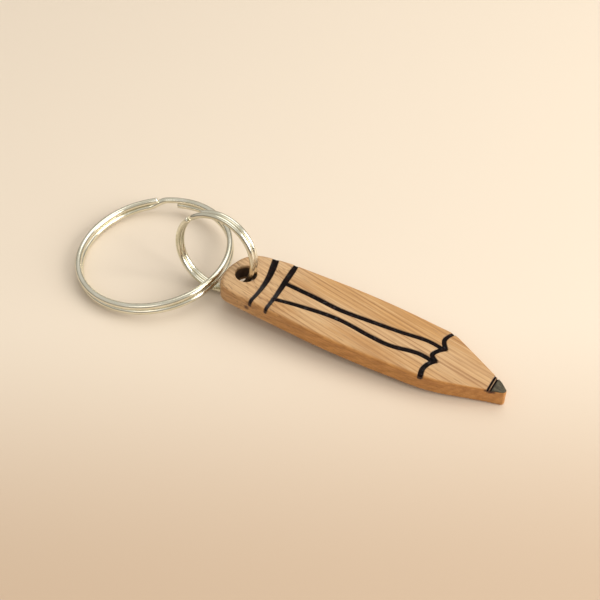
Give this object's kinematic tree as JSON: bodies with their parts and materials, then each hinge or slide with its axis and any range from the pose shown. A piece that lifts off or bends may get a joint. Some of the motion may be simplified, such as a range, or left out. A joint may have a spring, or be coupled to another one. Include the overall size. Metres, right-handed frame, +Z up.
{
  "type": "keychain",
  "caption": "Keychain: a flat wooden tag shaped and drawn as a pencil, on a small split ring linked to a large split ring, lying as put down on a table.",
  "frame": {"origin": "on the table, at the middle of the whole object's footprint", "axes": "+X along the tag from the rings to its tip, +Z up, the drawn face of the tag up"},
  "size_m": [0.0698, 0.025, 0.0134],
  "materials": {
    "wood": "sanded and oiled light oak",
    "black_fill": "glossy black filling in burnt lines",
    "grey_coat": "graphite grey coat, satin",
    "plated_wire": "bright nickel plate"
  },
  "bodies": {
    "tag": {"wood_tag": "wood", "ferrule_line_rear": "black_fill", "ferrule_line_front": "black_fill", "facet_line_far": "black_fill", "facet_line_near": "black_fill", "sharpening_line": "black_fill", "lead_line": "black_fill", "lead_tip": "grey_coat"},
    "small_ring": {"small_split_ring": "plated_wire"},
    "large_ring": {"large_split_ring": "plated_wire"}
  },
  "joints": [
    {"name": "ring_swivel", "type": "hinge", "parent": "tag", "child": "small_ring", "pos_m": [-0.00557, -0.00005, 0.00235], "axis": [0.0582, 0, 0.9983], "range_deg": [-40, 40]},
    {"name": "large_ring_lift", "type": "hinge", "parent": "small_ring", "child": "large_ring", "pos_m": [-0.01077, 0.00042, 0.00671], "axis": [-0.0427, 0.979, -0.1994], "range_deg": [0, 150]}
  ]
}
